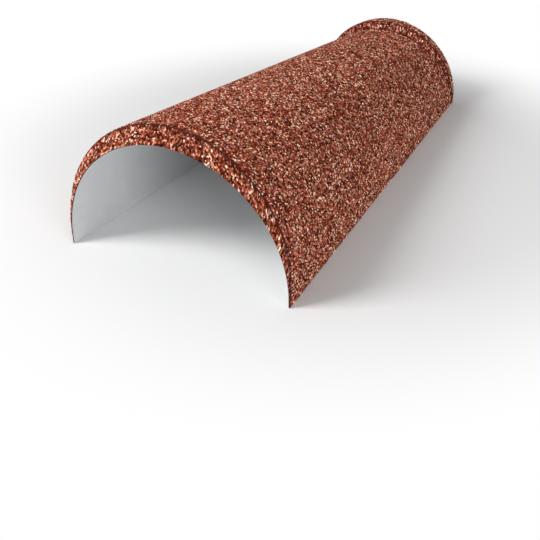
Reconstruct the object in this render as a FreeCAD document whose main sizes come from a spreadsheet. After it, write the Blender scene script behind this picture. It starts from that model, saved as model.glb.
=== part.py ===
"""Half-round roof ridge cap, pressed from one coated steel sheet.

The cap is a barrel that tapers from a wide mouth to a narrow tail. At the mouth the
sheet is folded down into a nose, deep at the crown and almost gone at the eaves. At the
tail it steps up into a collar, also highest at the crown, which the next cap's mouth
laps.

Frame: +Y runs from the mouth to the tail and +Z is up. The origin is on the ground,
in the middle of the rectangle that the cap covers. Sizes are in millimetres.
"""

import FreeCAD, Part
import math
import os
import sys
from dataclasses import dataclass
import Sketcher

# The driving dimensions: alias, value, meaning.
DIMENSIONS = [
    ("cap_length", 420.0, "from the front of the nose to the end of the tail"),
    ("sheet", 2.0, "thickness of the steel with its chip coat"),
    ("mouth_radius", 100.0, "outer radius of the half-round at the mouth"),
    ("mouth_leg", 20.0, "straight leg under the half-round at the mouth"),
    ("tail_radius", 75.0, "outer radius of the half-round at the tail"),
    ("tail_leg", 1.0, "straight leg under the half-round at the tail"),
    ("nose_drop", 14.0, "how far the nose turns down at the crown"),
    ("nose_crown", 7.0, "how far the nose reaches out in front of its fold at the crown"),
    ("nose_eave", 1.0, "the same at the eaves"),
    ("collar_crown", 21.0, "length of the collar at the crown"),
    ("collar_eave", 6.0, "length of the collar at the eaves"),
    ("collar_rise", 7.0, "how far the collar steps up at the crown"),
    ("collar_ramp", 4.0, "length of the step at the crown"),
    ("rim_fall", 2.5, "how far the collar sinks again towards the tail's rim"),
    ("run_out", 5.0, "how far a cut runs on past the eaves and the ends"),
]

FOLD_STEPS = 3
RAMP_STEPS = 4

# How far the sheet turns at the nose's fold, at the crown, where it bends round the fold's
# inner corner. Towards the eaves the turn fades, so the inner face is set back less there.
FOLD_TURN = "atan(dims.nose_drop / dims.nose_crown)"
EAVE_SHARE = 0.5


@dataclass
class Station:
    """One cross-section, as expressions on the spreadsheet.

    It is a half-round on straight legs, drawn on a plane that meets the ground at
    eave_y and passes through the crown at crown_y, both counted from the mouth. The
    legs are drawn on below the ground, where the eaves are sheared off.
    """

    name: str
    eave_y: str
    crown_y: str
    radius: str
    leg: str


def fold_inside():
    """The inner corner of the fold between the nose and the barrel."""
    set_back = f"dims.sheet * tan({FOLD_TURN} / 2)"
    return Station(
        "fold_inside",
        f"dims.nose_eave + {set_back} * {EAVE_SHARE}",
        f"dims.nose_crown + {set_back}",
        "dims.mouth_radius - dims.sheet",
        "dims.mouth_leg",
    )


def fold_outside(step):
    """The fold's outer section at a step of its turn, from 0 at the barrel."""
    corner = fold_inside()
    turn = f"{FOLD_TURN} * {step} / {FOLD_STEPS}"
    return Station(
        f"fold_outside_{step}",
        f"{corner.eave_y} - dims.sheet * sin({turn}) * {EAVE_SHARE}",
        f"{corner.crown_y} - dims.sheet * sin({turn})",
        "dims.mouth_radius",
        f"{corner.leg} - dims.sheet * (1 - cos({turn}))",
    )


def lip_outside():
    """The nose's outer edge, at the very front."""
    return Station("lip_outside", "0", "0", "dims.mouth_radius", "dims.mouth_leg - dims.nose_drop")


def lip_inside():
    """The nose's inner edge, straight across the sheet from the outer one."""
    return Station(
        "lip_inside",
        f"dims.sheet * sin({FOLD_TURN}) * {EAVE_SHARE}",
        f"dims.sheet * sin({FOLD_TURN})",
        "dims.mouth_radius - dims.sheet",
        f"dims.mouth_leg - dims.nose_drop + dims.sheet * (1 - cos({FOLD_TURN}))",
    )


def collar_outside(step):
    """The collar's outer section at a step of its rise, from 0 at the barrel."""
    share = step / RAMP_STEPS
    return Station(
        f"collar_outside_{step}",
        "dims.cap_length - dims.collar_eave"
        f" * (1 - {share} * dims.collar_ramp / dims.collar_crown)",
        f"dims.cap_length - dims.collar_crown + {share} * dims.collar_ramp",
        "dims.tail_radius",
        f"dims.tail_leg + dims.collar_rise * (1 - cos({180 * share})) / 2",
    )


def collar_inside(step):
    """The collar's inner section, set back so that the step keeps its thickness."""
    outside = collar_outside(step)
    set_back = "dims.sheet * tan(atan(dims.collar_rise / dims.collar_ramp) / 2)"
    return Station(
        f"collar_inside_{step}",
        f"{outside.eave_y} + {set_back} * dims.collar_eave / dims.collar_crown",
        f"{outside.crown_y} + {set_back}",
        "dims.tail_radius - dims.sheet",
        outside.leg,
    )


def rim_outside():
    """The upright section at the end of the tail."""
    leg = "dims.tail_leg + dims.collar_rise - dims.rim_fall"
    return Station("rim_outside", "dims.cap_length", "dims.cap_length", "dims.tail_radius", leg)


def rim_inside(name, beyond):
    """The hollow's section at the tail's end, or beyond it where the cut runs out."""
    outside = rim_outside()
    y = f"dims.cap_length + {beyond}"
    return Station(name, y, y, "dims.tail_radius - dims.sheet", outside.leg)


def mouth_run_out():
    """The hollow's section in front of the mouth, where the cut runs out."""
    lip = lip_inside()
    return Station("mouth_run_out", "-dims.run_out", "-dims.run_out", lip.radius, lip.leg)


def add_sheet(doc):
    """Adds the spreadsheet of driving dimensions."""
    cells = doc.addObject("Spreadsheet::Sheet", "dims")
    for row, (alias, value, meaning) in enumerate(DIMENSIONS, start=1):
        cells.set(f"A{row}", alias)
        cells.set(f"B{row}", str(value))
        cells.set(f"C{row}", meaning)
        cells.setAlias(f"B{row}", alias)
    doc.recompute()


def origin_plane(body, role):
    """The body's own origin plane with that role."""
    return next(f for f in body.Origin.OriginFeatures if f.Role == role)


def bind(sketch, sizes):
    """Adds named constraints, each with the expression that drives it."""
    for name, (size, expression) in sizes.items():
        sketch.renameConstraint(sketch.addConstraint(size), name)
        sketch.setExpression(f"Constraints.{name}", expression)


def draw_section(body, station):
    """Draws a station's half-round, legs and base line as a closed sketch."""
    vector = FreeCAD.Vector
    sketch = body.newObject("Sketcher::SketchObject", station.name)
    sketch.AttachmentSupport = [(origin_plane(body, "XZ_Plane"), "")]
    sketch.MapMode = "FlatFace"
    lean_axis = vector(-1, 0, 0)
    sketch.AttachmentOffset = FreeCAD.Placement(vector(), FreeCAD.Rotation(lean_axis, 1))

    # The first outline only has to have the right topology: the constraints size it.
    wide, tall = 50.0, 10.0
    right, arc, left, base = 0, 1, 2, 3
    circle = Part.Circle(vector(0, tall, 0), vector(0, 0, 1), wide)
    sketch.addGeometry(
        [
            Part.LineSegment(vector(wide, 0, 0), vector(wide, tall, 0)),
            Part.ArcOfCircle(circle, 0, math.pi),
            Part.LineSegment(vector(-wide, tall, 0), vector(-wide, 0, 0)),
            Part.LineSegment(vector(-wide, 0, 0), vector(wide, 0, 0)),
        ],
        False,
    )
    start, end, centre = 1, 2, 3
    origin, vertical_axis = -1, -2
    constraint = Sketcher.Constraint
    sketch.addConstraint(
        [
            constraint("Tangent", right, end, arc, start),
            constraint("Tangent", arc, end, left, start),
            constraint("Coincident", left, end, base, start),
            constraint("Coincident", base, end, right, start),
            constraint("Vertical", right),
            constraint("Vertical", left),
            constraint("Horizontal", base),
            constraint("PointOnObject", arc, centre, vertical_axis),
        ]
    )
    sizes = {
        "radius": (constraint("Radius", arc, wide), station.radius),
        "leg": (constraint("DistanceY", origin, start, arc, centre, tall), station.leg),
        "full_leg": (
            constraint("DistanceY", right, start, right, end, tall),
            f"{station.leg} + dims.run_out",
        ),
    }
    bind(sketch, sizes)

    height = f"({station.radius} + {station.leg})"
    lean = f"atan(({station.crown_y} - ({station.eave_y})) / {height})"
    sketch.setExpression(".AttachmentOffset.Base.z", f"-({station.eave_y})")
    sketch.setExpression(".AttachmentOffset.Rotation.Angle", lean)
    return sketch


def loft(body, kind, name, stations):
    """Adds or cuts one loft that runs straight from each station to the next."""
    sketches = [draw_section(body, station) for station in stations]
    body.Document.recompute()
    feature = body.newObject(f"PartDesign::{kind}Loft", name)
    feature.Profile = sketches[0]
    feature.Sections = sketches[1:]
    feature.Ruled = True
    body.Document.recompute()
    return feature


def shear_eaves(body):
    """Cuts the legs off at the ground, so that the eaves are flat from end to end."""
    vector = FreeCAD.Vector
    sketch = body.newObject("Sketcher::SketchObject", "ground")
    sketch.AttachmentSupport = [(origin_plane(body, "XY_Plane"), "")]
    sketch.MapMode = "FlatFace"
    corners = [vector(-60, -10, 0), vector(60, -10, 0), vector(60, 80, 0), vector(-60, 80, 0)]
    front, right, back, left = 0, 1, 2, 3
    ends = corners[1:] + corners[:1]
    sketch.addGeometry([Part.LineSegment(a, b) for a, b in zip(corners, ends)], False)
    start, end = 1, 2
    origin = -1
    constraint = Sketcher.Constraint
    corner_joins = [(front, right), (right, back), (back, left), (left, front)]
    sketch.addConstraint([constraint("Coincident", a, end, b, start) for a, b in corner_joins])
    sketch.addConstraint([constraint("Horizontal", side) for side in (front, back)])
    sketch.addConstraint([constraint("Vertical", side) for side in (left, right)])
    reach = "dims.mouth_radius + dims.run_out"
    sizes = {
        "left_reach": (constraint("DistanceX", front, start, origin, start, 60), reach),
        "right_reach": (constraint("DistanceX", origin, start, front, end, 60), reach),
        "front_reach": (constraint("DistanceY", front, start, origin, start, 10), "dims.run_out"),
        "back_reach": (
            constraint("DistanceY", origin, start, right, end, 80),
            "dims.cap_length + dims.run_out",
        ),
    }
    bind(sketch, sizes)
    shear = body.newObject("PartDesign::Pocket", "eave_shear")
    shear.Profile = sketch
    shear.setExpression("Length", "2 * dims.run_out")
    body.Document.recompute()
    return shear


def build_cap(doc):
    """Builds the whole cap, standing on its eaves with its middle at the origin."""
    body = doc.addObject("PartDesign::Body", "ridge_cap")
    body.Label = "ridge_cap"
    ramp_steps = range(RAMP_STEPS + 1)
    outside = [lip_outside()]
    outside += [fold_outside(step) for step in range(FOLD_STEPS, -1, -1)]
    outside += [collar_outside(step) for step in ramp_steps]
    outside += [rim_outside()]
    pressing = loft(body, "Additive", "pressing", outside)
    block = shear_eaves(body)
    if not block.Shape.Volume < pressing.Shape.Volume:
        sys.exit("the shear cut nothing")
    inside = [mouth_run_out(), lip_inside(), fold_inside()]
    inside += [collar_inside(step) for step in ramp_steps]
    inside += [rim_inside("rim_inside", "0"), rim_inside("rim_run_out", "dims.run_out")]
    hollow = loft(body, "Subtractive", "hollow", inside)
    if not hollow.Shape.Volume < 0.2 * block.Shape.Volume:
        sys.exit("the hollow cut too little")
    body.Tip = hollow
    body.setExpression(".Placement.Base.y", "-dims.cap_length / 2")
    doc.recompute()
    return body


def check(doc, bodies):
    """Stops the build if an object failed, or a shape isn't one valid solid."""
    failed = [o.Name for o in doc.Objects if {"Invalid", "Error"} & set(o.State)]
    if failed:
        sys.exit(f"failed objects: {failed}")
    for body in bodies:
        shape = body.Shape
        if shape.isNull() or not shape.isValid() or len(shape.Solids) != 1:
            sys.exit(f"{body.Label} is not one valid solid")


def main():
    doc = FreeCAD.newDocument("ridge_cap")
    add_sheet(doc)
    bodies = [build_cap(doc)]
    check(doc, bodies)
    os.makedirs("parts", exist_ok=True)
    for body in bodies:
        body.Shape.exportStep(f"parts/{body.Label}.step")
        box = body.Shape.optimalBoundingBox(False, False)
        size = f"{box.XLength:.2f} x {box.YLength:.2f} x {box.ZLength:.2f}"
        print(f"{body.Label}: {size} mm, {body.Shape.Volume / 1000:.1f} cm3")


main()
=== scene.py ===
"""Visual model of a half-round roof ridge cap.

The cap is one pressed steel sheet. Its underside keeps a thin grey primer, its cut edges
are bare, and its upper side carries a coat of crushed stone chips bedded in dark resin.
Lengths are in metres, in the frame of the solid: +Y runs from the wide mouth to the
narrow tail, +Z is up, and the eaves stand on the ground.
"""

import logging
import math
from collections.abc import Mapping, Sequence
from dataclasses import dataclass
from enum import Enum, IntEnum

import bpy
import numpy as np
from mathutils import Matrix, Vector
from mathutils.geometry import delaunay_2d_cdt


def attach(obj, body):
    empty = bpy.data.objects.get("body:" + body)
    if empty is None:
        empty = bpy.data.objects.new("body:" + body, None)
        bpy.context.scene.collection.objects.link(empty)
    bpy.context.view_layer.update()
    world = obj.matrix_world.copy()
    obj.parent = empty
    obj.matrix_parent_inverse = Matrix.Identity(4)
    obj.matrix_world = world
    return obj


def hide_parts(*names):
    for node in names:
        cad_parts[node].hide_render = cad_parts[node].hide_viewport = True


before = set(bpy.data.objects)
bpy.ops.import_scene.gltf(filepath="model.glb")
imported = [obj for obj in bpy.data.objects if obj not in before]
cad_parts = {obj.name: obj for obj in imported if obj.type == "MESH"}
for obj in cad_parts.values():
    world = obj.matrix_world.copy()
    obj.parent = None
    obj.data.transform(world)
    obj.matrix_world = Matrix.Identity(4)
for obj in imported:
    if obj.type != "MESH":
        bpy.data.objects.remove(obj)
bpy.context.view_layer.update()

log = logging.getLogger("ridge_cap")

MM = 0.001
IMAGE_SIDE = 540
LAYOUT_LAYER = "OFBake"
SOFT_DETAIL = 2.0
FINE_DETAIL = 3.0
SAME_HUE = 0.5
Colour = tuple[float, float, float]
Place = tuple[float, float, float]


class Side(Enum):
    """Which flank of the cap, looking into the mouth."""

    RIGHT = "right"
    LEFT = "left"


class Zone(Enum):
    """Which third of the chips, counted along the cap."""

    MOUTH = "mouth"
    MIDDLE = "middle"
    TAIL = "tail"


class SheetFinish(IntEnum):
    """Which finish a face of the steel sheet has, numbered as its materials are."""

    PRIMED = 0
    SHEARED = 1


@dataclass(frozen=True)
class Outline:
    """A cross-section: a half-round on straight legs, on a plane that may lean.

    Attributes:
        eave_y: Distance from the mouth at which the plane meets the ground.
        crown_y: Distance from the mouth of the section's highest point.
        radius: Radius of the half-round.
        leg: Height of the straight legs under it.
    """

    eave_y: float
    crown_y: float
    radius: float
    leg: float

    LEG_STEPS = 8
    ARC_STEPS = 180

    def points(self) -> np.ndarray:
        """Points from the right eave over the crown to the left eave.

        Returns:
            One row of x, y, z for each point, with y counted from the mouth.
        """
        lean = math.atan2(self.crown_y - self.eave_y, self.radius + self.leg)
        rise = np.linspace(0, self.leg, self.LEG_STEPS, endpoint=False)
        turn = np.linspace(0, math.pi, self.ARC_STEPS + 1)
        side = np.full(self.LEG_STEPS, self.radius)
        across = np.concatenate([side, self.radius * np.cos(turn), -side])
        up = np.concatenate([rise, self.leg + self.radius * np.sin(turn), rise[::-1]])
        along = self.eave_y + up * math.sin(lean)
        return np.stack([across, along, up * math.cos(lean)], axis=1)


@dataclass(frozen=True)
class CapShape:
    """The sizes of the pressed sheet, as in the solid, and the bare steel's thickness.

    The nose is the flange that turns down at the mouth, and the collar is the raised ring
    at the tail. Both reach furthest along the cap at the crown, and least at the eaves.

    Attributes:
        length: The length of the cap.
        sheet: The thickness of the steel with its coat.
        steel: The thickness of the bare steel.
        mouth_radius: Outer radius of the half-round at the mouth.
        mouth_leg: Height of the straight legs there, behind the nose.
        tail_radius: Outer radius of the half-round at the tail.
        tail_leg: Height of the straight legs there, before the collar.
        nose_drop: How far the nose turns down.
        nose_crown: How far it reaches along the cap at the crown.
        nose_eave: How far it reaches at the eaves.
        collar_crown: How far the collar reaches at the crown.
        collar_eave: How far it reaches at the eaves.
        collar_rise: How far it is raised.
        collar_ramp: How long the step up to it is at the crown.
        rim_fall: How far it slopes down again towards the rim.
        eave_share: The nose's set-backs at the eaves, as a share of those at the crown.
    """

    length: float = 420 * MM
    sheet: float = 2 * MM
    steel: float = 0.6 * MM
    mouth_radius: float = 100 * MM
    mouth_leg: float = 20 * MM
    tail_radius: float = 75 * MM
    tail_leg: float = 1 * MM
    nose_drop: float = 14 * MM
    nose_crown: float = 7 * MM
    nose_eave: float = 1 * MM
    collar_crown: float = 21 * MM
    collar_eave: float = 6 * MM
    collar_rise: float = 7 * MM
    collar_ramp: float = 4 * MM
    rim_fall: float = 2.5 * MM
    eave_share: float = 0.5

    @property
    def fold_turn(self) -> float:
        """How far the sheet turns at the nose's fold, at the crown."""
        return math.atan(self.nose_drop / self.nose_crown)

    def lip(self) -> tuple[Outline, Outline]:
        """Works out the nose's edge.

        Returns:
            The outer and the inner outline.
        """
        back = self.sheet * math.sin(self.fold_turn)
        leg = self.mouth_leg - self.nose_drop
        inner_leg = leg + self.sheet * (1 - math.cos(self.fold_turn))
        inner_radius = self.mouth_radius - self.sheet
        outer = Outline(0.0, 0.0, self.mouth_radius, leg)
        return outer, Outline(back * self.eave_share, back, inner_radius, inner_leg)

    def fold(self, share: float) -> tuple[Outline, Outline]:
        """The sections at a point of the fold between the nose and the barrel.

        Args:
            share: How much of the turn is made there, from 0 at the barrel to 1.

        Returns:
            The outer outline, and the inner one, which is the same corner all through.
        """
        turn = self.fold_turn * share
        set_back = self.sheet * math.tan(self.fold_turn / 2)
        ahead = self.sheet * math.sin(turn)
        eave_y = self.nose_eave + set_back * self.eave_share
        crown_y = self.nose_crown + set_back
        outer = Outline(
            eave_y - ahead * self.eave_share,
            crown_y - ahead,
            self.mouth_radius,
            self.mouth_leg - self.sheet * (1 - math.cos(turn)),
        )
        inner = Outline(eave_y, crown_y, self.mouth_radius - self.sheet, self.mouth_leg)
        return outer, inner

    def collar(self, share: float) -> tuple[Outline, Outline]:
        """The collar's sections at a point of its rise.

        Args:
            share: How far up the step the section is, from 0 at the barrel to 1.

        Returns:
            The outer and the inner outline.
        """
        climbed = share * self.collar_ramp
        eave_y = self.length - self.collar_eave * (1 - climbed / self.collar_crown)
        crown_y = self.length - self.collar_crown + climbed
        leg = self.tail_leg + self.collar_rise * (1 - math.cos(math.pi * share)) / 2
        set_back = self.sheet * math.tan(math.atan(self.collar_rise / self.collar_ramp) / 2)
        inner = Outline(
            eave_y + set_back * self.collar_eave / self.collar_crown,
            crown_y + set_back,
            self.tail_radius - self.sheet,
            leg,
        )
        return Outline(eave_y, crown_y, self.tail_radius, leg), inner

    def rim(self) -> tuple[Outline, Outline]:
        """Works out the end of the tail.

        Returns:
            The outer and the inner outline.
        """
        leg = self.tail_leg + self.collar_rise - self.rim_fall
        outer = Outline(self.length, self.length, self.tail_radius, leg)
        return outer, Outline(self.length, self.length, self.tail_radius - self.sheet, leg)


class SheetChart:
    """The sheet laid out flat, so that chips can be spread evenly over it.

    A place on the chart is (along, across). Along is the way over the sheet from the
    barrel's front, negative in the nose and its fold. Across is the way round the outline
    from the crown, positive to the left. A height is counted from the underside.
    """

    FOLD_STATIONS = 9
    BARREL_STATIONS = 60
    RAMP_STATIONS = 13
    COLUMNS = 241
    NOSE_ROWS = 48
    FAR_ROWS = 840

    def __init__(self, shape: CapShape) -> None:
        """Tabulates the outer and the inner face.

        Args:
            shape: The sheet's sizes.
        """
        self.shape = shape
        self.shares = np.linspace(0, 1, self.COLUMNS)
        stations, fold = self._stations()
        lengths = [self._lengths(station[0])[-1] for station in stations]
        rows = np.array([self._even(station) for station in stations])
        steps = np.linalg.norm(np.diff(rows[:, 0], axis=0), axis=2)
        way = np.concatenate([np.zeros((1, self.COLUMNS)), np.cumsum(steps, axis=0)])
        way -= way[fold]
        self.nose_reach = -way[0]
        self.far_reach = way[-1]
        self.width_way = way[:, self.COLUMNS // 2]
        self.widths = np.array(lengths)
        step = fold + self.BARREL_STATIONS
        crest = step + self.RAMP_STATIONS - 1
        self.bends = way[[1 + self.FOLD_STATIONS // 2, step, crest]]
        self.table = self._tabulate(rows, way)

    def _stations(self) -> tuple[np.ndarray, int]:
        """The sections from the mouth's edge to the rim.

        Returns:
            An array (section, outer or inner, point, xyz), and which section the barrel
            starts with.
        """
        shape = self.shape
        pairs = [shape.lip()]
        pairs += [shape.fold(share) for share in np.linspace(1, 0, self.FOLD_STATIONS)]
        fold = len(pairs) - 1
        pairs += [shape.collar(share) for share in np.linspace(0, 1, self.RAMP_STATIONS)]
        pairs.append(shape.rim())
        sections = np.array([[outer.points(), inner.points()] for outer, inner in pairs])
        start, end = sections[fold], sections[fold + 1]
        shares = np.linspace(0, 1, self.BARREL_STATIONS + 1)[1:-1]
        barrel = np.array([(1 - share) * start + share * end for share in shares])
        sections = np.concatenate([sections[: fold + 1], barrel, sections[fold + 1 :]])
        sections[..., 1] -= shape.length / 2
        return sections, fold

    @staticmethod
    def _lengths(line: np.ndarray) -> np.ndarray:
        """The way along a line of points, at each of them."""
        steps = np.linalg.norm(np.diff(line, axis=0), axis=1)
        return np.concatenate([[0.0], np.cumsum(steps)])

    def _even(self, station: np.ndarray) -> np.ndarray:
        """A section's points, moved to even shares of the way round it.

        Args:
            station: The outer and the inner outline, point for point.

        Returns:
            The same two outlines with one point in each of the chart's columns.
        """
        way = self._lengths(station[0])
        wanted = self.shares * way[-1]
        return np.array(
            [
                np.stack([np.interp(wanted, way, line[:, axis]) for axis in range(3)], axis=1)
                for line in station
            ]
        )

    def _tabulate(self, rows: np.ndarray, way: np.ndarray) -> np.ndarray:
        """Points in even steps from the mouth's edge to the fold, and on to the rim.

        Args:
            rows: The sections' points, by section, face, column and axis.
            way: The way from the fold, by section and column.

        Returns:
            The table, by row, face, column and axis.
        """
        count = self.NOSE_ROWS + self.FAR_ROWS + 1
        table = np.empty((count, 2, self.COLUMNS, 3))
        for column in range(self.COLUMNS):
            nose = np.linspace(-self.nose_reach[column], 0, self.NOSE_ROWS + 1)
            far = np.linspace(0, self.far_reach[column], self.FAR_ROWS + 1)
            wanted = np.concatenate([nose[:-1], far])
            for face in range(2):
                for axis in range(3):
                    table[:, face, column, axis] = np.interp(
                        wanted, way[:, column], rows[:, face, column, axis]
                    )
        return table

    def share(self, along: np.ndarray, across: np.ndarray) -> np.ndarray:
        """The share of the way round the outline, from the right eave, of each place."""
        return 0.5 + across / np.interp(along, self.width_way, self.widths)

    def gaps(self, along: np.ndarray, across: np.ndarray) -> np.ndarray:
        """How far places are inside each edge of the sheet.

        Args:
            along: The places' way from the barrel's front.
            across: The places' way from the crown.

        Returns:
            Distances to the mouth's edge, the rim, the right eave and the left eave.
        """
        width = np.interp(along, self.width_way, self.widths)
        share = np.clip(0.5 + across / width, 0, 1)
        nose = np.interp(share, self.shares, self.nose_reach)
        far = np.interp(share, self.shares, self.far_reach)
        return np.array([along + nose, far - along, width / 2 + across, width / 2 - across])

    def from_bend(self, along: np.ndarray, across: np.ndarray) -> np.ndarray:
        """How far places are past the nearest bend, at the nose or the collar's step.

        Args:
            along: The places' way from the barrel's front.
            across: The places' way from the crown.

        Returns:
            The distances, negative before the bend.
        """
        share = self.share(along, across)
        past = np.array([along - np.interp(share, self.shares, bend) for bend in self.bends])
        nearest = np.abs(past).argmin(axis=0)
        return np.take_along_axis(past, nearest[None], axis=0)[0]

    def to_edge(self, along: np.ndarray, across: np.ndarray) -> tuple[np.ndarray, np.ndarray]:
        """Moves places to the nearest edge of the sheet.

        Args:
            along: The places' way from the barrel's front.
            across: The places' way from the crown.

        Returns:
            The moved places, and the way straight out of the sheet there.
        """
        outward = np.array([(-1, 0), (1, 0), (0, -1), (0, 1)])
        gaps = self.gaps(along, across)
        nearest = np.abs(gaps).argmin(axis=0)
        gap = np.take_along_axis(gaps, nearest[None], axis=0)[0]
        out = outward[nearest]
        return np.stack([along, across], axis=1) + out * gap[:, None], out

    def rows(self, along: np.ndarray, share: np.ndarray) -> np.ndarray:
        """Finds places in the table.

        Args:
            along: The places' way from the barrel's front.
            share: Their share of the way round the outline.

        Returns:
            The table's row for each place, whole and part.
        """
        nose = np.interp(share, self.shares, self.nose_reach)
        far = np.interp(share, self.shares, self.far_reach)
        in_nose = self.NOSE_ROWS * (1 + along / nose)
        beyond = self.NOSE_ROWS + self.FAR_ROWS * along / far
        return np.clip(np.where(along < 0, in_nose, beyond), 0, len(self.table) - 1)

    def place(self, along: np.ndarray, across: np.ndarray, height: np.ndarray) -> np.ndarray:
        """Points in space for places on the chart and heights over the underside."""
        share = np.clip(self.share(along, across), 0, 1)
        return self.point(self.rows(along, share), share * (self.COLUMNS - 1), height)

    def point(self, row: np.ndarray, column: np.ndarray, height: np.ndarray) -> np.ndarray:
        """Points in space for rows and columns of the table.

        Args:
            row: The rows, whole and part.
            column: The columns, whole and part.
            height: The heights over the sheet's underside.

        Returns:
            One row of x, y, z for each point.
        """
        low_row = np.minimum(row.astype(int), len(self.table) - 2)
        low_column = np.minimum(column.astype(int), self.COLUMNS - 2)
        over = (row - low_row)[:, None, None]
        aside = (column - low_column)[:, None, None]
        faces = (
            (1 - over) * (1 - aside) * self.table[low_row, :, low_column]
            + over * (1 - aside) * self.table[low_row + 1, :, low_column]
            + (1 - over) * aside * self.table[low_row, :, low_column + 1]
            + over * aside * self.table[low_row + 1, :, low_column + 1]
        )
        level = (height / self.shape.sheet)[:, None]
        return faces[:, 1] + (faces[:, 0] - faces[:, 1]) * level


class Number:
    """A value in a material, with the arithmetic that the finishes use."""

    def __init__(self, tree: "ShaderTree", socket: bpy.types.NodeSocket) -> None:
        """Wraps a socket of that tree."""
        self.tree = tree
        self.socket = socket

    def _math(self, operation: str, *values: "Number | float") -> "Number":
        """Adds one Math node.

        Args:
            operation: What the node does.
            values: What it works on.

        Returns:
            The node's result.
        """
        inputs = dict(enumerate(values))
        node = self.tree.node("ShaderNodeMath", {"operation": operation}, inputs)
        return Number(self.tree, node.outputs[0])

    def __add__(self, other: "Number | float") -> "Number":
        """This value plus another."""
        return self._math("ADD", self, other)

    def __radd__(self, other: float) -> "Number":
        """A number plus this value."""
        return self._math("ADD", other, self)

    def __mul__(self, other: "Number | float") -> "Number":
        """This value times another."""
        return self._math("MULTIPLY", self, other)

    def __rmul__(self, other: float) -> "Number":
        """A number times this value."""
        return self._math("MULTIPLY", other, self)

    def at_most(self, limit: float) -> "Number":
        """This value, held under a limit."""
        return self._math("MINIMUM", self, limit)

    def swing(self, middle: float, width: float) -> "Number":
        """This value, from 0 to 1, as a swing of that width about a middle."""
        return middle - width / 2 + width * self

    def spread(self, low: float, high: float) -> "Number":
        """Where this value lies between two levels, eased and held between 0 and 1.

        Args:
            low: The level that becomes 0.
            high: The level that becomes 1.

        Returns:
            The new value.
        """
        settings = {"interpolation_type": "SMOOTHSTEP"}
        inputs = {"Value": self, "From Min": low, "From Max": high}
        return self.tree.number(self.tree.node("ShaderNodeMapRange", settings, inputs))


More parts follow.
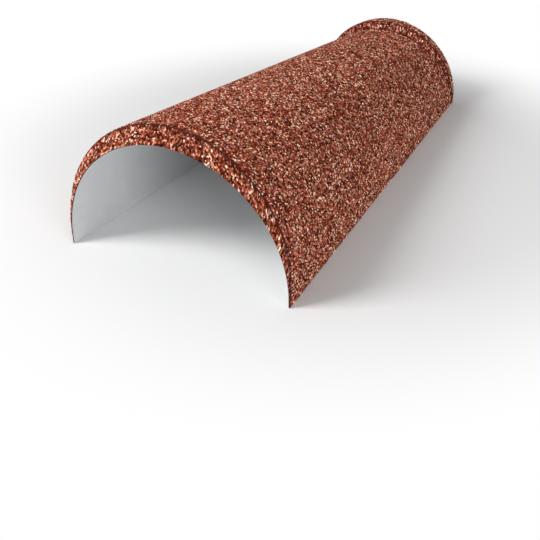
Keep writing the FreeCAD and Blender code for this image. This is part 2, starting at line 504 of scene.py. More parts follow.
class ShaderTree:
    """The nodes of one material or of the surroundings.

    The numbers are those of a Mix node's sockets for colours.
    """

    FIRST_COLOUR = 6
    SECOND_COLOUR = 7
    MIXED_COLOUR = 2

    def __init__(self, owner: bpy.types.Material | bpy.types.World) -> None:
        """Empties the owner's node tree.

        Args:
            owner: The material, or the world.
        """
        owner.use_nodes = True
        self.owner = owner
        self.nodes = owner.node_tree.nodes
        self.links = owner.node_tree.links
        self.nodes.clear()

    def node(
        self,
        kind: str,
        settings: Mapping[str, object] | None = None,
        inputs: Mapping[str | int, object] | None = None,
    ) -> bpy.types.Node:
        """Adds one node.

        Args:
            kind: The node's type.
            settings: Its properties, set first. A ramp's stops are (place, colour) pairs.
            inputs: Values, colours or links for its sockets, by name or number.

        Returns:
            The new node.
        """
        node = self.nodes.new(kind)
        for name, value in (settings or {}).items():
            if name == "stops":
                self._set_stops(node.color_ramp, value)
            else:
                setattr(node, name, value)
        for name, value in (inputs or {}).items():
            source = value.socket if isinstance(value, Number) else value
            socket = node.inputs[name]
            if isinstance(source, bpy.types.NodeSocket):
                self.links.new(source, socket)
            elif socket.type == "RGBA":
                socket.default_value = (*source, 1)
            else:
                socket.default_value = source
        return node

    @staticmethod
    def _set_stops(ramp: bpy.types.ColorRamp, stops: Sequence[tuple[float, Colour]]) -> None:
        """Gives a ramp constant bands of colour.

        Args:
            ramp: The ramp, with the two stops of a new one.
            stops: Where each band starts, and its colour.
        """
        ramp.interpolation = "CONSTANT"
        while len(ramp.elements) < len(stops):
            ramp.elements.new(1.0)
        for element, (start, colour) in zip(ramp.elements, stops):
            element.position = start
            element.color = (*colour, 1)

    def number(self, node: bpy.types.Node, output: str | int = 0) -> Number:
        """One of a node's results, as a value."""
        return Number(self, node.outputs[output])

    def attribute(self, name: str) -> Number:
        """A value that the mesh carries."""
        return self.number(self.node("ShaderNodeAttribute", {"attribute_name": name}), "Fac")

    def noise(self, size: Place | float, detail: float = SOFT_DETAIL) -> Number:
        """Soft noise fixed to the object.

        Args:
            size: How large its patches are, in metres, or their size along x, y and z.
            detail: How many finer layers it has.

        Returns:
            A value from 0 to 1, mostly near the middle.
        """
        sizes = (size,) * 3 if isinstance(size, float) else size
        place = self.node("ShaderNodeTexCoord").outputs["Object"]
        scale = tuple(1 / part for part in sizes)
        inputs = {0: place, 1: scale}
        scaled = self.node("ShaderNodeVectorMath", {"operation": "MULTIPLY"}, inputs)
        inputs = {"Vector": scaled.outputs[0], "Scale": 1.0, "Detail": detail}
        return self.number(self.node("ShaderNodeTexNoise", None, inputs), "Fac")

    def mix(
        self,
        factor: Number | float,
        first: bpy.types.NodeSocket | Colour,
        second: bpy.types.NodeSocket | Colour,
    ) -> bpy.types.NodeSocket:
        """Mixes two colours.

        Args:
            factor: The second colour's share.
            first: The first colour.
            second: The second colour.

        Returns:
            The mixed colour's socket.
        """
        inputs = {"Factor": factor, self.FIRST_COLOUR: first, self.SECOND_COLOUR: second}
        node = self.node("ShaderNodeMix", {"data_type": "RGBA"}, inputs)
        return node.outputs[self.MIXED_COLOUR]

    def toned(
        self, colour: bpy.types.NodeSocket | Colour, tone: Number, hue: Number | float = SAME_HUE
    ) -> bpy.types.NodeSocket:
        """A colour made lighter or darker, where a tone of 1 keeps it, with its hue shifted."""
        inputs = {"Hue": hue, "Value": tone, "Color": colour}
        return self.node("ShaderNodeHueSaturation", None, inputs).outputs[0]

    def bump(self, height: Number, depth: float) -> bpy.types.NodeSocket:
        """A normal bumped by a relief from 0 to 1, which is that deep."""
        return self.node("ShaderNodeBump", None, {"Height": height, "Distance": depth}).outputs[0]

    def surface(self, inputs: Mapping[str | int, object]) -> bpy.types.Material:
        """Ends the tree in one principled surface.

        Args:
            inputs: The surface's sockets.

        Returns:
            The finished material.
        """
        shader = self.node("ShaderNodeBsdfPrincipled", None, inputs)
        self.node("ShaderNodeOutputMaterial", None, {"Surface": shader.outputs[0]})
        return self.owner

    def end_in_two(
        self, ending: str, share: Number, first: bpy.types.Node, second: bpy.types.Node
    ) -> None:
        """Ends the tree in a mix of two shaders.

        Args:
            ending: The type of the last node.
            share: The second shader's share.
            first: The first shader.
            second: The second shader.
        """
        inputs = {0: share, 1: first.outputs[0], 2: second.outputs[0]}
        mixed = self.node("ShaderNodeMixShader", None, inputs)
        self.node(ending, None, {"Surface": mixed.outputs[0]})


class Mineral(Enum):
    """A kind of stone in the coat: its share of the chips, and its colour."""

    SOOT = (0.10, (0.020, 0.005, 0.002))
    UMBER = (0.17, (0.080, 0.011, 0.002))
    DARK_BRICK = (0.14, (0.185, 0.027, 0.010))
    BRICK = (0.18, (0.335, 0.062, 0.030))
    DUSTY_RED = (0.13, (0.440, 0.118, 0.080))
    OCHRE = (0.05, (0.300, 0.150, 0.060))
    SALMON = (0.13, (0.660, 0.250, 0.168))
    BUFF = (0.10, (0.930, 0.650, 0.490))

    def __init__(self, part: float, colour: Colour) -> None:
        """Names the two halves of the value."""
        self.part = part
        self.colour = colour


@dataclass(frozen=True)
class ChipFinish:
    """Crushed stone, each chip of one mineral, bedded in dark resin.

    A tone, hue or roughness with a pattern's name is how far the pattern swings it. Grain
    varies within a chip, shade from chip to chip, and a patch holds many chips. The chip to
    chip value is a random tone plus painted shade that darkens the chips beside each bend.

    Attributes:
        resin: The resin's colour.
        resin_reach: How far up a chip's sides it shows, as a share of their height.
        brightness: The stones' tone as a whole.
        roughness: The resin's mean roughness.
        stone_roughness: How much rougher bare stone is.
    """

    resin: Colour = (0.062, 0.011, 0.004)
    resin_reach: float = 0.5
    brightness: float = 1.27
    shade_tone: float = 1.0
    shade_hue: float = 0.03
    grain: float = 0.22 * MM
    grain_tone: float = 0.30
    grain_roughness: float = 0.20
    patch: float = 14 * MM
    patch_tone: float = 0.24
    pitting: float = 0.10 * MM
    pit_depth: float = 0.04 * MM
    roughness: float = 0.65
    stone_roughness: float = 0.15
    specular: float = 0.10

    def build(self) -> bpy.types.Material:
        """Builds the coat's material.

        Returns:
            The material.
        """
        tree = ShaderTree(bpy.data.materials.new("stone_chips"))
        starts = np.cumsum([0.0] + [mineral.part for mineral in Mineral][:-1])
        stops = [(float(start), mineral.colour) for start, mineral in zip(starts, Mineral)]
        tint = tree.attribute("chip_tint")
        ramp = tree.node("ShaderNodeValToRGB", {"stops": stops}, {"Fac": tint})
        # Each chip's tone varies at random, and is darker beside each bend as painted shade.
        shade = tree.attribute("chip_tone_and_painted_shade")
        tone = self.brightness * shade.swing(1, self.shade_tone)
        tone = tone * tree.noise(self.grain, FINE_DETAIL).swing(1, self.grain_tone)
        tone = tone * tree.noise(self.patch).swing(1, self.patch_tone)
        stone = tree.toned(ramp.outputs[0], tone, shade.swing(SAME_HUE, self.shade_hue))
        bare = tree.attribute("chip_height").spread(0.0, self.resin_reach)
        roughness = tree.noise(self.grain).swing(self.roughness, self.grain_roughness)
        return tree.surface(
            {
                "Base Color": tree.mix(bare, self.resin, stone),
                "Roughness": roughness + self.stone_roughness * bare,
                "Normal": tree.bump(tree.noise(self.pitting, FINE_DETAIL), self.pit_depth),
                "Specular IOR Level": self.specular,
            }
        )


@dataclass(frozen=True)
class PrimerFinish:
    """Thin grey primer on rolled steel, with faint rolling streaks and cloudy patches.

    A tone or a roughness with a pattern's name is how far the pattern swings it.
    """

    colour: Colour = (0.64, 0.65, 0.66)
    roughness: float = 0.52
    streak: Place = (1.2 * MM, 90 * MM, 1.2 * MM)
    streak_tone: float = 0.16
    streak_roughness: float = 0.12
    streak_relief: float = 0.5
    mottle: float = 14 * MM
    mottle_tone: float = 0.12
    mottle_roughness: float = 0.20
    peel: float = 0.7 * MM
    peel_depth: float = 0.02 * MM

    def build(self) -> bpy.types.Material:
        """Builds the underside's material.

        Returns:
            The material.
        """
        tree = ShaderTree(bpy.data.materials.new("grey_primer"))
        streaks = tree.noise(self.streak, FINE_DETAIL)
        mottle = tree.noise(self.mottle, FINE_DETAIL)
        tone = streaks.swing(1, self.streak_tone) + mottle.swing(0, self.mottle_tone)
        roughness = streaks.swing(self.roughness, self.streak_roughness)
        relief = tree.noise(self.peel) + self.streak_relief * streaks
        return tree.surface(
            {
                "Base Color": tree.toned(self.colour, tone),
                "Roughness": roughness + mottle.swing(0, self.mottle_roughness),
                "Normal": tree.bump(relief, self.peel_depth),
            }
        )


@dataclass(frozen=True)
class ShearedFinish:
    """Bare steel where the sheet was sheared, finely scored and tarnished in patches.

    A tone or a roughness with a pattern's name is how far the pattern swings it.
    """

    colour: Colour = (0.50, 0.50, 0.49)
    metallic: float = 0.8
    roughness: float = 0.425
    score: float = 0.25 * MM
    score_tone: float = 0.20
    score_depth: float = 0.03 * MM
    tarnish: float = 9 * MM
    tarnish_tone: float = 0.30
    tarnish_roughness: float = 0.25

    def build(self) -> bpy.types.Material:
        """Builds the cut edges' material.

        Returns:
            The material.
        """
        tree = ShaderTree(bpy.data.materials.new("sheared_steel"))
        scores = tree.noise(self.score, FINE_DETAIL)
        tarnish = tree.noise(self.tarnish, FINE_DETAIL)
        tone = scores.swing(1, self.score_tone) + tarnish.swing(0, self.tarnish_tone)
        return tree.surface(
            {
                "Base Color": tree.toned(self.colour, tone),
                "Roughness": tarnish.swing(self.roughness, self.tarnish_roughness),
                "Metallic": self.metallic,
                "Normal": tree.bump(scores, self.score_depth),
            }
        )


def add_object(name: str, data: bpy.types.ID) -> bpy.types.Object:
    """Makes an object and puts it in the scene.

    Args:
        name: The object's name.
        data: Its mesh, lamp or lens.

    Returns:
        The object.
    """
    made = bpy.data.objects.new(name, data)
    bpy.context.scene.collection.objects.link(made)
    return made


@dataclass
class MeshData:
    """A mesh as arrays.

    Attributes:
        points: The x, y, z of each point.
        corners: The point at each corner, face after face.
        sizes: The number of corners of each face.
        layout: The flat place of each corner, from 0 to 1.
    """

    points: np.ndarray
    corners: np.ndarray
    sizes: np.ndarray
    layout: np.ndarray

    def build(self, name: str) -> bpy.types.Object:
        """Makes an object of the mesh.

        Args:
            name: The object's name.

        Returns:
            The object, linked to the scene.
        """
        mesh = bpy.data.meshes.new(name)
        mesh.vertices.add(len(self.points))
        mesh.vertices.foreach_set("co", self.points.astype(np.float32).ravel())
        mesh.loops.add(len(self.corners))
        mesh.loops.foreach_set("vertex_index", self.corners.astype(np.int32))
        mesh.polygons.add(len(self.sizes))
        starts = np.cumsum(self.sizes) - self.sizes
        mesh.polygons.foreach_set("loop_start", starts.astype(np.int32))
        mesh.update(calc_edges=True)
        layer = mesh.uv_layers.new(name=LAYOUT_LAYER)
        layer.uv.foreach_set("vector", self.layout.astype(np.float32).ravel())
        return add_object(name, mesh)


def carry(mesh: bpy.types.Mesh, name: str, domain: str, values: np.ndarray) -> None:
    """Stores a value on each FACE or POINT of a mesh, for a finish to read."""
    stored = mesh.attributes.new(name, "FLOAT", domain)
    stored.data.foreach_set("value", values.astype(np.float32))


@dataclass
class SteelSheet:
    """The pressed steel under the coat, with its primed underside and its cut edges.

    On the flat layout the underside fills a square, each cut edge has a band beside it,
    and the face under the coat, which nobody sees, has a small square in the corner.

    Attributes:
        chart: The sheet's chart.
        nose_stride: How many of the chart's rows a face spans in the nose.
        barrel_stride: How many it spans in the barrel.
        collar_stride: How many it spans in the collar.
        collar_rows: How many of the chart's rows count as the collar.
        column_stride: How many columns a face spans.
        edge_angle: The least turn between two faces that makes a sharp edge.
    """

    chart: SheetChart
    nose_stride: int = 2
    barrel_stride: int = 20
    collar_stride: int = 2
    collar_rows: int = 52
    column_stride: int = 2
    edge_angle: float = math.radians(35)

    UNDER_SIDE = 0.9
    HIDDEN_START = 0.92
    HIDDEN_SIDE = 0.08
    BAND_START = 0.915
    BAND_STEP = 0.02
    BAND_HEIGHT = 0.012

    def _grid(self) -> tuple[np.ndarray, np.ndarray]:
        """Chooses the table's rows and columns, close together at the bends.

        Returns:
            The rows, and the columns.
        """
        chart = self.chart
        last = len(chart.table) - 1
        nose = np.arange(0, chart.NOSE_ROWS, self.nose_stride)
        barrel = np.arange(chart.NOSE_ROWS, last - self.collar_rows, self.barrel_stride)
        collar = np.arange(last - self.collar_rows, last + 1, self.collar_stride)
        rows = np.concatenate([nose, barrel, collar])
        return rows, np.arange(0, chart.COLUMNS, self.column_stride)

    def _mesh(self) -> tuple[MeshData, np.ndarray]:
        """Makes the closed sheet.

        Returns:
            The mesh, and the finish of each face.
        """
        rows, columns = self._grid()
        high, wide = len(rows), len(columns)
        count = high * wide
        row, column = (grid.ravel() for grid in np.meshgrid(rows, columns, indexing="ij"))
        under = self.chart.point(row, column, np.zeros(count))
        upper = self.chart.point(row, column, np.full(count, self.chart.shape.steel))
        low = np.arange(count).reshape(high, wide)
        top = low + count
        hidden = self._quads(top[:-1, :-1], top[1:, :-1], top[1:, 1:], top[:-1, 1:])
        primed = self._quads(low[:-1, :-1], low[:-1, 1:], low[1:, 1:], low[1:, :-1])
        strips = [
            self._quads(low[0, :-1], top[0, :-1], top[0, 1:], low[0, 1:]),
            self._quads(low[-1, :-1], low[-1, 1:], top[-1, 1:], top[-1, :-1]),
            self._quads(low[:-1, 0], low[1:, 0], top[1:, 0], top[:-1, 0]),
            self._quads(low[:-1, -1], top[:-1, -1], top[1:, -1], low[1:, -1]),
        ]
        flat = np.stack([column / (self.chart.COLUMNS - 1), row / rows[-1]], axis=1)
        small = np.array([self.HIDDEN_START, 0.0]) + self.HIDDEN_SIDE * flat
        layout = [small[hidden.ravel() - count], self.UNDER_SIDE * flat[primed.ravel()]]
        layout += [self._band(strip, count, number) for number, strip in enumerate(strips)]
        faces = np.concatenate([hidden, primed, *strips])
        finish = np.full(len(faces), SheetFinish.SHEARED)
        finish[: len(hidden) + len(primed)] = SheetFinish.PRIMED
        points = np.concatenate([under, upper])
        sizes = np.full(len(faces), faces.shape[1])
        return MeshData(points, faces.ravel(), sizes, np.concatenate(layout)), finish

    @staticmethod
    def _quads(*corners: np.ndarray) -> np.ndarray:
        """Faces of four corners each."""
        return np.stack([corner.ravel() for corner in corners], axis=1)

    def _band(self, strip: np.ndarray, count: int, number: int) -> np.ndarray:
        """Lays a cut edge's faces out in a thin band.

        Args:
            strip: The strip's faces.
            count: How many points the underside has, which come before the others.
            number: Which of the bands is meant, from 0.

        Returns:
            The flat place of each corner.
        """
        point = strip.ravel()
        ends, place = np.unique(point % count, return_inverse=True)
        across = self.UNDER_SIDE * (place / (len(ends) - 1))
        level = self.BAND_START + self.BAND_STEP * number + self.BAND_HEIGHT * (point >= count)
        return np.stack([across, level], axis=1)

    def build(self, primer: bpy.types.Material, sheared: bpy.types.Material) -> bpy.types.Object:
        """Builds and dresses the sheet.

        Args:
            primer: The underside's finish.
            sheared: The cut edges' finish.

        Returns:
            The finished piece.
        """
        data, finish = self._mesh()
        piece = data.build("steel_sheet")
        piece.data.materials.append(primer)
        piece.data.materials.append(sheared)
        piece.data.polygons.foreach_set("material_index", finish.astype(np.int32))
        piece.data.shade_smooth()
        piece.data.set_sharp_from_angle(angle=self.edge_angle)
        return piece


@dataclass(frozen=True)
class ChipGrading:
    """How large the chips are and how they lie, in metres but for the shares.

    Along each bend of the sheet a line of resin shows, and the chips beside it are small and lie
    deep, and painted shade colours them darker.

    Attributes:
        spacing: From one chip's middle to the next.
        scatter: How far the chips stray from even rows, as a share of the spacing.
        left_out: The share of the even places with no chip, so that its neighbours grow.
        lost: The share of the chips that came off and left their bed of resin.
        edge_clear: The least distance of a chip's middle from the sheet's edge.
        valley: How high the resin lies between the chips, with its spread.
        crest: How high the chips' tops lie, with their spread.
        highest: The height that no chip passes.
        tilt: The spread of the tops' slopes.
        smallest_top: The least reach of a top's corner, as a share of its cell's.
        largest_top: The greatest reach.
        shade: The chips' mean brightness, from 0 to 1, with its spread.
        bend_row: The width of the resin line along a bend, and of the row on each side.
        bend_sink: How much deeper the chips beside a bend lie.
        bend_painted_shade: How much darker the chips beside a bend are coloured, as painted
            shade.
        bend_top: Their size, as a share of the others'.
    """

    spacing: float = 1.24 * MM
    scatter: float = 0.28
    left_out: float = 0.10
    lost: float = 0.012
    edge_clear: float = 0.30 * MM
    valley: float = 1.25 * MM
    valley_spread: float = 0.07 * MM
    crest: float = 1.72 * MM
    crest_spread: float = 0.11 * MM
    highest: float = 1.97 * MM
    tilt: float = 0.28
    smallest_top: float = 0.45
    largest_top: float = 0.85
    shade: float = 0.5
    shade_spread: float = 0.2
    bend_row: float = 1.5 * MM
    bend_sink: float = 0.16 * MM
    bend_painted_shade: float = 0.30
    bend_top: float = 0.60


class ChipBed:
    """Every chip of the coat, each in its own cell of the sheet's chart.

    The chips' middles are joined into triangles, and a cell's corners are the middles of
    the triangles round its chip. Ghost chips past the edges close the outermost cells,
    whose corners then move to the edge itself. A chip has a flat top with about half as
    many corners as its cell, and steep faces down to the resin at the cell's corners.
    """

    MARGIN_CHIPS = 3
    WHOLE_HULL = 0
    POINT_TOLERANCE = 1e-9
    ROW_TOLERANCE = 0.01

    def __init__(self, chart: SheetChart, grading: ChipGrading, seed: int) -> None:
        """Spreads and shapes the chips.

        Args:
            chart: The sheet's chart.
            grading: The chips' sizes.
            seed: The start of the random numbers.
        """
        self.chart = chart
        self.grading = grading
        self.random = np.random.default_rng(seed)
        self.spots, self.real = self._spread()
        self.triangles = self._join_spots()
        self._place_corners()
        self._find_cells()
        self._shape_tops()
        self._join_faces()

    def _spread(self) -> tuple[np.ndarray, np.ndarray]:
        """Scatters the chips' middles over the sheet and just past its edges.

        Those beside a bend are moved into three straight rows, one of them on the bend.

        Returns:
            The places, and whether each is a real chip.
        """
        grading, chart, random = self.grading, self.chart, self.random
        pitch = grading.spacing
        row_pitch = pitch * math.sqrt(3) / 2
        margin = self.MARGIN_CHIPS * pitch
        reach = chart.widths.max() / 2 + margin
        start, stop = chart.nose_reach.max() + margin, chart.far_reach.max() + margin
        rows = np.arange(-start, stop, row_pitch)
        columns = np.arange(-reach, reach, pitch)
        along, across = np.meshgrid(rows, columns, indexing="ij")
        across = across + pitch / 2 * (np.arange(len(rows)) % 2)[:, None]
        places = np.stack([along.ravel(), across.ravel()], axis=1)
        places = places[random.random(len(places)) > grading.left_out]
        places = places + random.normal(0, grading.scatter * pitch, places.shape)
        past = chart.from_bend(*places.T)
        row = np.rint(past / grading.bend_row)
        places[:, 0] += np.where(np.abs(row) <= 1, row * grading.bend_row - past, 0)
        clear = chart.gaps(*places.T).min(axis=0)
        near = clear > -margin
        return places[near], clear[near] > grading.edge_clear

    def _join_spots(self) -> np.ndarray:
        """Joins the chips' middles into triangles.

        Returns:
            The three middles of each triangle, anticlockwise.
        """
        spots = [Vector(spot) for spot in self.spots]
        joined = delaunay_2d_cdt(spots, [], [], self.WHOLE_HULL, self.POINT_TOLERANCE, False)
        triangles = np.array(joined[2])
        first, second, third = (self.spots[triangles[:, corner]] for corner in range(3))
        one, other = second - first, third - first
        area = one[:, 0] * other[:, 1] - one[:, 1] * other[:, 0]
        return np.where(area[:, None] > 0, triangles, triangles[:, ::-1])

    def _place_corners(self) -> None:
        """Finds the cells' corners, and draws how deep the resin lies there."""
        grading = self.grading
        mixed = ~self.real[self.triangles].all(axis=1)
        self.corners = self.spots[self.triangles].mean(axis=1)
        out = np.zeros_like(self.corners)
        self.corners[mixed], out[mixed] = self.chart.to_edge(*self.corners[mixed].T)
        spread = self.random.normal(0, grading.valley_spread, len(self.corners))
        self.valleys = grading.valley + spread
        self.feet = self.corners + out * (grading.valley - self.chart.shape.steel)

    def _find_cells(self) -> None:
        """Puts each chip's corners in order round it."""
        spots, triangles = self.spots, self.triangles
        chip = triangles.ravel()
        behind = np.roll(triangles, 1, axis=1).ravel()
        corner = np.repeat(np.arange(len(triangles)), 3)
        kept = self.real[chip]
        chip, behind, corner = chip[kept], behind[kept], corner[kept]
        ways = spots[triangles].mean(axis=1)[corner] - spots[chip]
        order = np.lexsort((np.arctan2(ways[:, 1], ways[:, 0]), chip))
        chip, behind, self.corner = chip[order], behind[order], corner[order]
        chips, self.first, self.cell, self.sides = np.unique(
            chip, return_index=True, return_inverse=True, return_counts=True
        )
        self.at_edge = ~self.real[behind]
        self.following = np.arange(len(chip)) + 1
        self.following[self.first + self.sides - 1] = self.first
        row = np.abs(self.chart.from_bend(*spots[chips].T)) / self.grading.bend_row
        self.on_bend = row < self.ROW_TOLERANCE
        self.beside_bend = np.abs(row - 1) < self.ROW_TOLERANCE
        sums = np.add.reduceat(self.corners[self.corner], self.first)
        self.middles = sums / self.sides[:, None]

    def _shape_tops(self) -> None:
        """Draws each chip's height, tilt, size and stone, and places its top's corners.

        Every second corner of a cell shares a corner of the top with the one before it.
        """
        grading, random = self.grading, self.random
        count = len(self.first)
        lost = (random.random(count) < grading.lost) | self.on_bend
        crest = random.normal(grading.crest, grading.crest_spread, count)
        crest = np.where(lost, grading.valley, crest)
        crest = crest - grading.bend_sink * (self.beside_bend & ~lost)
        tilt = random.normal(0, grading.tilt, (count, 2)) * ~lost[:, None]
        self.tint = random.random(count)
        shade = random.normal(grading.shade, grading.shade_spread, count)
        # Painted shade: the chips beside each bend are coloured darker, as if shaded in the
        # crease.
        self.shade = np.clip(shade - grading.bend_painted_shade * self.beside_bend, 0, 1)

        self.top_sides = (self.sides + 1) // 2
        first_top = np.cumsum(self.top_sides) - self.top_sides
        step = np.arange(len(self.cell)) - self.first[self.cell]
        self.top = first_top[self.cell] + step // 2
        top_cell = np.repeat(np.arange(count), self.top_sides)
        uses = np.bincount(self.top)
        ring = self.corners[self.corner]
        total = np.stack([np.bincount(self.top, ring[:, axis]) for axis in range(2)], axis=1)
        out = total / uses[:, None] - self.middles[top_cell]
        size = random.uniform(grading.smallest_top, grading.largest_top, len(top_cell))
        size = size * np.where(self.beside_bend, grading.bend_top, 1.0)[top_cell]
        out = out * size[:, None]
        self.tops = self.middles[top_cell] + out
        rise = (tilt[top_cell] * out).sum(axis=1)
        self.crests = np.clip(crest[top_cell] + rise, grading.valley, grading.highest)
        self.bare = np.where(lost, 0.0, 1.0)[top_cell]

    def _join_faces(self) -> None:
        """Lists every face's points and chip.

        The points are the cells' corners, then the tops' corners, then the cells' corners
        again at the foot of the coat, for the skirt along its edges.
        """
        here, ahead = self.corner, self.corner[self.following]
        low = len(self.corners)
        top, top_ahead = low + self.top, low + self.top[self.following]
        foot = low + len(self.tops)
        flat = self.top_sides >= 3
        same = top == top_ahead
        edge = self.at_edge
        count = len(self.first)
        faces = [
            (low + np.flatnonzero(np.repeat(flat, self.top_sides)), self.top_sides[flat]),
            (np.stack([here, ahead, top], axis=1)[same], 3),
            (np.stack([here, ahead, top_ahead, top], axis=1)[~same], 4),
            (np.stack([foot + here, foot + ahead, ahead, here], axis=1)[edge], 4),
        ]
        owners = [np.arange(count)[flat], self.cell[same], self.cell[~same], self.cell[edge]]
        self.loops = np.concatenate([loops.ravel() for loops, _ in faces])
        self.sizes = np.concatenate(
            [np.broadcast_to(size, owner.shape) for (_, size), owner in zip(faces, owners)]
        )
        self.owners = np.concatenate(owners)
        self.places = np.concatenate([self.corners, self.tops, self.corners])
        self.layout = np.concatenate([self.corners, self.tops, self.feet])
        steel = np.full(len(self.corners), self.chart.shape.steel)
        self.heights = np.concatenate([self.valleys, self.crests, steel])
        nothing = np.zeros(len(self.corners))
        self.bared = np.concatenate([nothing, self.bare, nothing])


@dataclass
class CoatPanel:
    """A sixth of the stone coat. The cells of neighbouring panels share their corners."""

    bed: ChipBed
    zone: Zone
    side: Side

    @property
    def name(self) -> str:
        """The panel's name."""
        return f"coat_{self.zone.value}_{self.side.value}"

    def _chips(self) -> np.ndarray:
        """Picks out this panel's chips.

        Returns:
            Whether each chip of the bed is in this panel.
        """
        along, across = self.bed.middles.T
        zones = list(Zone)
        bounds = np.quantile(along, [zone / len(zones) for zone in range(1, len(zones))])
        zone = np.searchsorted(bounds, along)
        left = across > 0
        return (zone == zones.index(self.zone)) & (left == (self.side is Side.LEFT))

    def build(self, finish: bpy.types.Material) -> bpy.types.Object:
        """Builds and dresses the panel.

        Args:
            finish: The coat's finish.

        Returns:
            The finished piece.
        """
        bed = self.bed
        mine = self._chips()[bed.owners]
        sizes, owners = bed.sizes[mine], bed.owners[mine]
        used, corners = np.unique(bed.loops[np.repeat(mine, bed.sizes)], return_inverse=True)
        points = bed.chart.place(*bed.places[used].T, bed.heights[used])
        layout = bed.layout[used]
        layout = (layout - layout.min(axis=0)) / np.ptp(layout, axis=0).max()
        piece = MeshData(points, corners, sizes, layout[corners]).build(self.name)
        carry(piece.data, "chip_tint", "FACE", bed.tint[owners])
        # Each chip's random tone, with painted shade darkening the chips beside each bend.
        carry(piece.data, "chip_tone_and_painted_shade", "FACE", bed.shade[owners])
        carry(piece.data, "chip_height", "POINT", bed.bared[used])
        piece.data.materials.append(finish)
        piece.data.shade_flat()
        return piece


@dataclass(frozen=True)
class Viewpoint:
    """Where the picture is taken from.

    Attributes:
        azimuth: Turn to the right of straight into the mouth, in degrees.
        elevation: Height over the horizon, in degrees.
        roll: Turn of the picture, in degrees.
        distance: How far the camera is from the plane through the mouth's foot.
        right: How far the aim is to the right of the mouth's foot, in the picture.
        up: How far the aim is above it, in the picture.
        focal: The focal length, in pixels of the picture.
        foot: The middle of the mouth, on the ground.
        nearest: The least distance at which the camera sees.
    """

    azimuth: float = 29.827
    elevation: float = 32.783
    roll: float = -1.389
    distance: float = 0.68537
    right: float = 0.07289
    up: float = 0.00319
    focal: float = 894.83
    foot: Place = (0.0, -0.21, 0.0)
    nearest: float = 10 * MM

    def build(self) -> None:
        """Makes the scene's camera."""
        turn, rise = math.radians(self.azimuth), math.radians(self.elevation)
        back = Vector(
            (
                math.sin(turn) * math.cos(rise),
                -math.cos(turn) * math.cos(rise),
                math.sin(rise),
            )
        )
        level = Vector((math.cos(turn), math.sin(turn), 0))
        upright = back.cross(level)
        roll = math.radians(self.roll)
        right = math.cos(roll) * level + math.sin(roll) * upright
        up = math.cos(roll) * upright - math.sin(roll) * level
        place = Vector(self.foot) + self.right * right + self.up * up + self.distance * back
        lens = bpy.data.cameras.new("camera")
        lens.lens = self.focal / IMAGE_SIDE * lens.sensor_width
        lens.clip_start = self.nearest
        camera = add_object("camera", lens)
        turned = Matrix((right, up, back)).transposed().to_4x4()
        camera.matrix_world = Matrix.Translation(place) @ turned
        bpy.context.scene.camera = camera


@dataclass(frozen=True)
class SoftLamp:
    """A square lamp that points at the cap."""

    name: str
    place: Place
    size: float
    watts: float
    aim: Place = (0.0, 0.0, 0.05)

    def build(self) -> None:
        """Makes the lamp."""
        light = bpy.data.lights.new(self.name, "AREA")
        light.size = self.size
        light.energy = self.watts
        lamp = add_object(self.name, light)
        lamp.location = self.place
        way = Vector(self.aim) - Vector(self.place)
        lamp.rotation_euler = way.to_track_quat("-Z", "Y").to_euler()


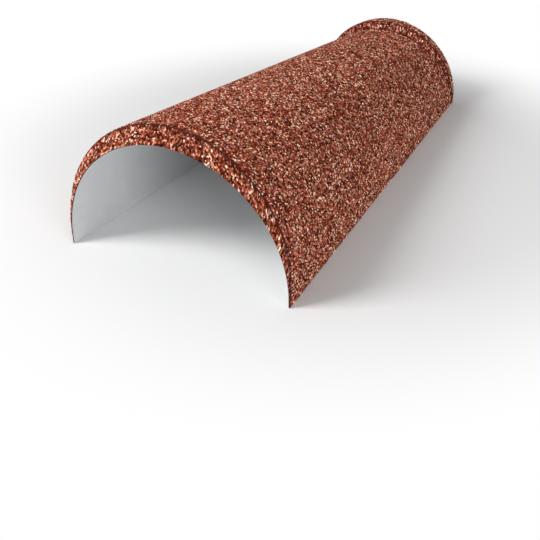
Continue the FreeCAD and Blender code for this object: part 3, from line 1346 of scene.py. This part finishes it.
@dataclass
class Studio:
    """A pale floor under soft light.

    Attributes:
        floor_size: The length of the square floor's sides.
        floor_drop: How far under the eaves it lies.
        floor_colour: Its colour near the cap.
        near: How far from the cap's middle it starts to turn white.
        far: How far off it is all white.
        ambient: How bright the sky's own light is.
        key: The main lamp, on the left.
        fill: The weaker lamp, on the right.
    """

    floor_size: float = 8.0
    floor_drop: float = 0.1 * MM
    floor_colour: Colour = (0.93, 0.93, 0.93)
    near: float = 0.21
    far: float = 0.38
    ambient: float = 0.34
    key: SoftLamp = SoftLamp("key_lamp", place=(-1.0, -1.0, 1.15), size=0.7, watts=24.0)
    fill: SoftLamp = SoftLamp("fill_lamp", place=(1.6, -1.2, 0.55), size=0.8, watts=13.5)

    @staticmethod
    def _seen(tree: ShaderTree) -> Number:
        """Tells rays that look at the studio from those that light it.

        Args:
            tree: The tree that asks.

        Returns:
            1 for a ray from the camera, a mirror or a glass, and 0 for any other.
        """
        path = tree.node("ShaderNodeLightPath")
        kinds = ("Is Camera Ray", "Is Glossy Ray", "Is Transmission Ray")
        camera, glossy, through = (tree.number(path, kind) for kind in kinds)
        return (camera + glossy + through).at_most(1.0)

    def _floor(self) -> None:
        """Makes the floor, which turns plain white away from the cap."""
        half = self.floor_size / 2
        corners = [(-half, -half), (half, -half), (half, half), (-half, half)]
        mesh = bpy.data.meshes.new("floor")
        points = [(x, y, -self.floor_drop) for x, y in corners]
        mesh.from_pydata(points, [], [(0, 1, 2, 3)])
        tree = ShaderTree(bpy.data.materials.new("pale_floor"))
        place = tree.node("ShaderNodeTexCoord").outputs["Object"]
        length = tree.node("ShaderNodeVectorMath", {"operation": "LENGTH"}, {0: place})
        away = tree.number(length, "Value").spread(self.near, self.far)
        paint = tree.node("ShaderNodeBsdfDiffuse", None, {"Color": self.floor_colour})
        white = tree.node("ShaderNodeEmission", None, {"Strength": 1.0})
        tree.end_in_two("ShaderNodeOutputMaterial", away * self._seen(tree), paint, white)
        mesh.materials.append(tree.owner)
        floor = add_object("floor", mesh)

    def _surroundings(self) -> None:
        """Makes the sky: plain white to look at, and a soft grey for the light it gives."""
        world = bpy.data.worlds.new("studio")
        bpy.context.scene.world = world
        tree = ShaderTree(world)
        glow = tree.node("ShaderNodeBackground", None, {"Color": (self.ambient,) * 3})
        white = tree.node("ShaderNodeBackground", None, {"Color": (1, 1, 1)})
        tree.end_in_two("ShaderNodeOutputWorld", self._seen(tree), glow, white)

    def build(self) -> None:
        """Builds the floor, the sky and the lamps."""
        self._floor()
        self._surroundings()
        self.key.build()
        self.fill.build()
        bpy.context.scene.view_settings.view_transform = "Standard"


def place_piece(piece: bpy.types.Object) -> None:
    """Fixes a piece to the cap's one body, in place of the plain solid.

    Args:
        piece: The piece.
    """
    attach(piece, "root")
    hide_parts("ridge_cap")
    log.info("%s: %d faces", piece.name, len(piece.data.polygons))


def main() -> None:
    """Builds the cap and the studio round it."""
    logging.basicConfig(level=logging.INFO, format="%(message)s")
    Viewpoint().build()
    Studio().build()
    chart = SheetChart(CapShape())
    sheet = SteelSheet(chart).build(PrimerFinish().build(), ShearedFinish().build())
    place_piece(sheet)
    bed = ChipBed(chart, ChipGrading(), seed=11)
    chips = ChipFinish().build()
    for zone in Zone:
        for side in Side:
            place_piece(CoatPanel(bed, zone, side).build(chips))


if __name__ == "__main__":
    main()
